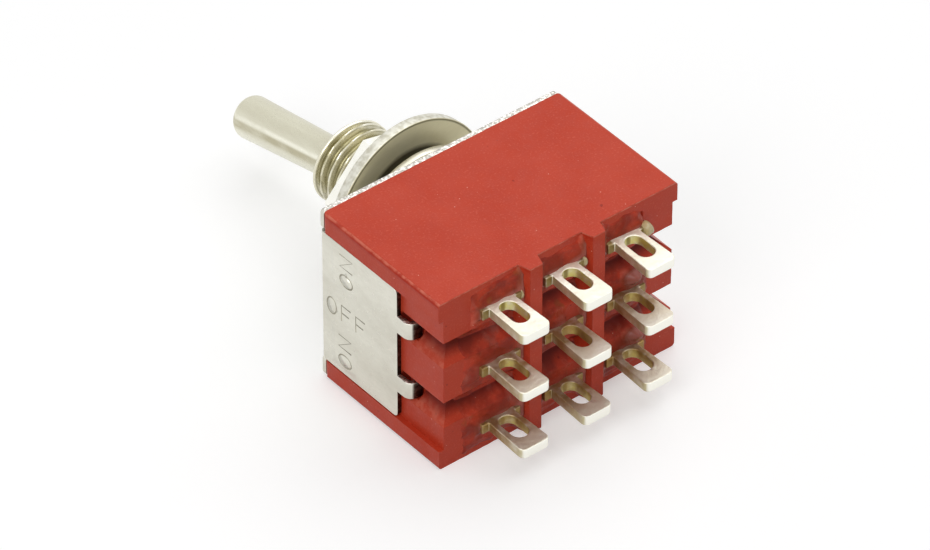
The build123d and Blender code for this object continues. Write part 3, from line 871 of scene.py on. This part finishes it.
# drips that stand on the resin of a pole, by x and z from its centre
RESIN_DOMES = {"3": [(0.75, 1.35), (0.95, -3.35)]}
DOME_HEIGHT = 0.9
DOME_SPREAD = 0.42
# the skin over the tiers, and how deep a groove stays open over the resin in it
SKIN = 0.035
POOL_DEPTH = 0.85
# how high the resin climbs a lug and a rib, and the distance over which it falls away again
LUG_CLIMB = 0.3
LUG_FADE = 0.35
RIB_CLIMB = 0.3
RIB_FADE = 0.2
# height of its narrow wrinkles
FOLD_HEIGHT = 0.05
# how far short of an open side's limit the resin ends, with more for the upper tier, the height up
# and down at which it ends, and how steeply it sinks into the case past there
SIDE_SHORE = 0.45
UPPER_SHORE = 0.7
SIDE_SLOPE = 0.35
TOP_SHORE = 6.0
TOP_SLOPE = 0.5
# how far noise moves the pool's depth, the climb at the lugs, the side's shore and the top's
POOL_SWAY = 0.15
CLIMB_SWAY = 0.22
SIDE_SWAY = 0.25
TOP_SWAY = 0.35
# what sets each pole's noise apart from the next one's
POLE_SEED = 7.3


def wander(x, z, scale, seed):
    """Smooth noise of about -1 to 1 over the case's back."""
    return noise.noise(Vector((x * scale, z * scale, seed)))


def side_level(x, z, limit, seed):
    """What the side of a pole adds at x, z: a climb up its rib, or a shore where it is open."""
    if abs(limit) == RIB_REACH:
        return RIB_CLIMB * math.exp(-max(0.0, RIB_INSET - abs(x)) / RIB_FADE)
    upper = 0.5 + 0.5 * math.tanh((z - TIER_GROOVE_Z) / 0.5)
    sway = SIDE_SWAY * wander(x, z, 0.9, seed + 8)
    shore = abs(limit) - SIDE_SHORE - UPPER_SHORE * upper + sway
    return -SIDE_SLOPE * max(0.0, abs(x) - shore)


def resin_height(x, z, lug_z, spread, domes, seed):
    """How far the resin stands out of the case's back at x, z from its pole's centre, in mm."""
    groove = max(0.0, GROOVE_HALF - abs(abs(z) - TIER_GROOVE_Z))
    pool = POOL_DEPTH + POOL_SWAY * wander(x, z, 0.6, seed)
    level = SKIN - min(groove, pool)
    from_lug = min(
        math.hypot(max(0.0, abs(x) - LUG_HALF_X), max(0.0, abs(z - row_z) - LUG_HALF_Z))
        for row_z in lug_z
    )
    climb = LUG_CLIMB + CLIMB_SWAY * wander(x, z, 1.1, seed + 3)
    level += climb * math.exp(-from_lug / LUG_FADE)
    for limit in spread:
        if x * limit > 0:
            level += side_level(x, z, limit, seed)
    folds = 1 - abs(wander(x, z * 1.6, 0.7, seed + 5)) * 3.0
    level += FOLD_HEIGHT * max(0.0, folds) ** 2
    for dome_x, dome_z in domes:
        level += DOME_HEIGHT * math.exp(-((x - dome_x) ** 2 + (z - dome_z) ** 2) / DOME_SPREAD)
    top_shore = TOP_SHORE + TOP_SWAY * wander(x, z, 0.7, seed + 11)
    return level - TOP_SLOPE * max(0.0, abs(z) - top_shore)


def resin_sheet(pole):
    """One pole's resin: a wrinkled skin over its tiers that climbs its lugs and ribs."""
    centre_x = middle_x(f"common_terminal_{pole}")
    lug_z = [middle_z(f"{row}_seal_{pole}") for row in ROWS]
    spread = RESIN_SPREAD[pole]
    domes = RESIN_DOMES.get(pole, ())
    seed = POLE_SEED * int(pole)
    half_z = CASE_TOP - RESIN_MARGIN
    columns = round((spread[1] - spread[0]) / RESIN_STEP)
    rows = round(2 * half_z / RESIN_STEP)
    work = bmesh.new()
    grid = []
    for row in range(rows + 1):
        z = 2 * half_z * row / rows - half_z
        line = []
        for column in range(columns + 1):
            x = spread[0] + (spread[1] - spread[0]) * column / columns
            out = resin_height(x, z, lug_z, spread, domes, seed)
            line.append(work.verts.new(Vector((centre_x + x, CASE_BACK - out, z)) * MM))
        grid.append(line)
    for lower, upper in zip(grid, grid[1:]):
        for left in range(columns):
            right = left + 1
            work.faces.new((lower[left], lower[right], upper[right], upper[left]))
    name = f"resin_{pole}"
    mesh = write_mesh(work, bpy.data.meshes.new(name))
    smooth_over(mesh, POURED_SHADING)
    piece = new_piece(name, mesh, FINISHES["resin"])
    give(piece, "case", "resin", *(f"{row}_seal_{pole}" for row in ROWS))


# ---- beads of flux ------------------------------------------------------------------------

BEAD_SIDES = 24
BEAD_SWELL = 0.22
# to the bead's centre from the lug's middle, from the case's back and from the lug's top
BEAD_X = 1.62
BEAD_OUT = 0.45
BEAD_DROP = 0.3
# half sizes across, along and up of the bead at the right shoulder of each upper lug
BEADS = {"1": (0.16, 0.22, 0.3), "2": (0.2, 0.26, 0.34), "3": (0.42, 0.5, 0.46)}


def flux_bead(pole):
    """Drop of flux at the right shoulder of an upper lug."""
    lug = f"upper_terminal_{pole}"
    lug_top = box_mm(lug)[1].z
    centre = Vector((middle_x(lug) + BEAD_X, CASE_BACK - BEAD_OUT, lug_top - BEAD_DROP))
    work = bmesh.new()
    bmesh.ops.create_uvsphere(work, u_segments=BEAD_SIDES, v_segments=BEAD_SIDES // 2, radius=1)
    for vert in work.verts:
        swell = 1 + BEAD_SWELL * noise.noise(vert.co * 1.3 + Vector((int(pole), 0, 0)))
        size = Vector(BEADS[pole]) * swell
        vert.co = (centre + Vector(a * b for a, b in zip(vert.co, size))) * MM
    name = f"flux_bead_{pole}"
    mesh = write_mesh(work, bpy.data.meshes.new(name))
    smooth_over(mesh, POURED_SHADING)
    give(new_piece(name, mesh, AMBER), "case", "resin")


# ---- put together -------------------------------------------------------------------------

slots = {part["node"]: part["material_slot"] for part in frame["record"]["subparts"]}
for node_name, node in frame["nodes"].items():
    for material_slot in node.material_slots:
        material_slot.material = FINISHES[slots[node_name]]

softened("case", "case_body", CASE_EDGE, "case", "case", wear=CASE_WEAR)
lettered_bracket()
threaded_bushing()
for pole in POLES:
    resin_sheet(pole)
    flux_bead(pole)
    for row in ROWS:
        lug = f"{row}_lug_{pole}"
        softened(f"{row}_terminal_{pole}", lug, LUG_EDGE, "case", "terminal", segments=3)
softened("back_nut", "back_hex", NUT_EDGE, "case", "nut")
softened("front_nut", "front_hex", NUT_EDGE, "nut", "nut")
softened("flat_washer", "plain_washer", WASHER_EDGE, "washer", "flat_washer", segments=3)
softened("lock_washer", "tooth_washer", TOOTH_EDGE, "case", "lock_washer")


# ---- studio -------------------------------------------------------------------------------

# the photograph's viewpoint, in degrees and millimetres
VIEW_AZIMUTH = -38.95
VIEW_ELEVATION = 40.01
VIEW_DISTANCE = 493.9
VIEW_TARGET = Vector((0.06, -2.51, -1.96))
VIEW_LENS = 307.35
# what the backdrop gives as light; where it is seen or mirrored it is 1
WORLD_LIGHT = 0.24
FLOOR_GREY = 0.7
FLOOR_GLOW = 0.4
WHITE = (1, 1, 1, 1)
# the studio's own distances, in metres
LAMP_DISTANCE = 0.6
FLOOR_HALF = 4.0
# the floor's glow grows from the near distance to the far one, so that it stays white to its edge
GLOW_NEAR = 0.08
GLOW_FAR = 0.6


def away(azimuth, elevation):
    """Unit direction from the object, azimuth 0 being behind its lugs."""
    turn = math.radians(azimuth)
    rise = math.radians(elevation)
    return Vector(
        (math.sin(turn) * math.cos(rise), -math.cos(turn) * math.cos(rise), math.sin(rise))
    )


def aim(thing, target):
    """Turns a camera or a lamp towards a point."""
    thing.rotation_euler = (target - thing.location).to_track_quat("-Z", "Y").to_euler()


def set_camera():
    """Long lens at the photograph's viewpoint."""
    data = bpy.data.cameras.new("camera")
    data.lens = VIEW_LENS
    data.clip_start = 0.01
    data.clip_end = 20
    camera = bpy.data.objects.new("camera", data)
    bpy.context.scene.collection.objects.link(camera)
    target = VIEW_TARGET * MM
    camera.location = target + away(VIEW_AZIMUTH, VIEW_ELEVATION) * VIEW_DISTANCE * MM
    aim(camera, target)
    bpy.context.scene.camera = camera


def soft_light(name, azimuth, elevation, size, power):
    """Square soft box aimed at the switch, its size in metres and its power in watts."""
    data = bpy.data.lights.new(name, "AREA")
    data.size = size
    data.energy = power
    lamp = bpy.data.objects.new(name, data)
    bpy.context.scene.collection.objects.link(lamp)
    lamp.location = away(azimuth, elevation) * LAMP_DISTANCE
    aim(lamp, Vector((0, 0, 0)))


def shown_rays(nodes, links):
    """1 for rays that see the backdrop: straight, by reflection or through glass."""
    path = nodes.new("ShaderNodeLightPath")
    total = path.outputs["Is Camera Ray"]
    for name in ("Is Glossy Ray", "Is Transmission Ray"):
        add = nodes.new("ShaderNodeMath")
        add.operation = "MAXIMUM"
        links.new(total, add.inputs[0])
        links.new(path.outputs[name], add.inputs[1])
        total = add.outputs["Value"]
    return total


def set_world():
    """White where it is seen or mirrored, and a softer grey as light."""
    world = bpy.data.worlds.new("studio")
    world.use_nodes = True
    nodes = world.node_tree.nodes
    links = world.node_tree.links
    background = nodes["Background"]
    background.inputs["Color"].default_value = WHITE
    strength = nodes.new("ShaderNodeMapRange")
    strength.inputs["To Min"].default_value = WORLD_LIGHT
    strength.inputs["To Max"].default_value = 1.0
    links.new(shown_rays(nodes, links), strength.inputs["Value"])
    links.new(strength.outputs["Result"], background.inputs["Strength"])
    bpy.context.scene.world = world


def floor_glow(nodes, links):
    """Light of the floor's own for the rays that see it, which grows with the distance."""
    place = nodes.new("ShaderNodeTexCoord")
    reach = nodes.new("ShaderNodeVectorMath")
    reach.operation = "LENGTH"
    links.new(place.outputs["Object"], reach.inputs[0])
    level = nodes.new("ShaderNodeMapRange")
    level.inputs["From Min"].default_value = GLOW_NEAR
    level.inputs["From Max"].default_value = GLOW_FAR
    level.inputs["To Min"].default_value = FLOOR_GLOW
    level.inputs["To Max"].default_value = 1.0
    links.new(reach.outputs["Value"], level.inputs["Value"])
    share = nodes.new("ShaderNodeMath")
    share.operation = "MULTIPLY"
    links.new(shown_rays(nodes, links), share.inputs[0])
    links.new(level.outputs["Result"], share.inputs[1])
    glow = nodes.new("ShaderNodeEmission")
    glow.inputs["Color"].default_value = WHITE
    links.new(share.outputs["Value"], glow.inputs["Strength"])
    return glow.outputs[0]


def pale_floor():
    """Matt pale material that shows white and keeps part of the shadow."""
    material = bpy.data.materials.new("floor")
    material.use_nodes = True
    nodes = material.node_tree.nodes
    links = material.node_tree.links
    shader = nodes["Principled BSDF"]
    shader.inputs["Base Color"].default_value = (FLOOR_GREY, FLOOR_GREY, FLOOR_GREY, 1)
    shader.inputs["Roughness"].default_value = 0.9
    shader.inputs["Specular IOR Level"].default_value = 0.0
    total = nodes.new("ShaderNodeAddShader")
    links.new(shader.outputs[0], total.inputs[0])
    links.new(floor_glow(nodes, links), total.inputs[1])
    links.new(total.outputs[0], nodes["Material Output"].inputs["Surface"])
    return material


def set_floor():
    """Square floor under the switch's lowest point."""
    work = bmesh.new()
    bmesh.ops.create_grid(work, x_segments=1, y_segments=1, size=FLOOR_HALF)
    floor = new_piece("floor", write_mesh(work, bpy.data.meshes.new("floor")), pale_floor())
    floor.location = (0, 0, cad_low.z)


set_camera()
set_world()
set_floor()
soft_light("overhead", azimuth=100, elevation=70, size=0.8, power=2.6)
soft_light("front", azimuth=-68, elevation=42, size=0.35, power=1.15)
bpy.context.scene.view_settings.view_transform = "Standard"
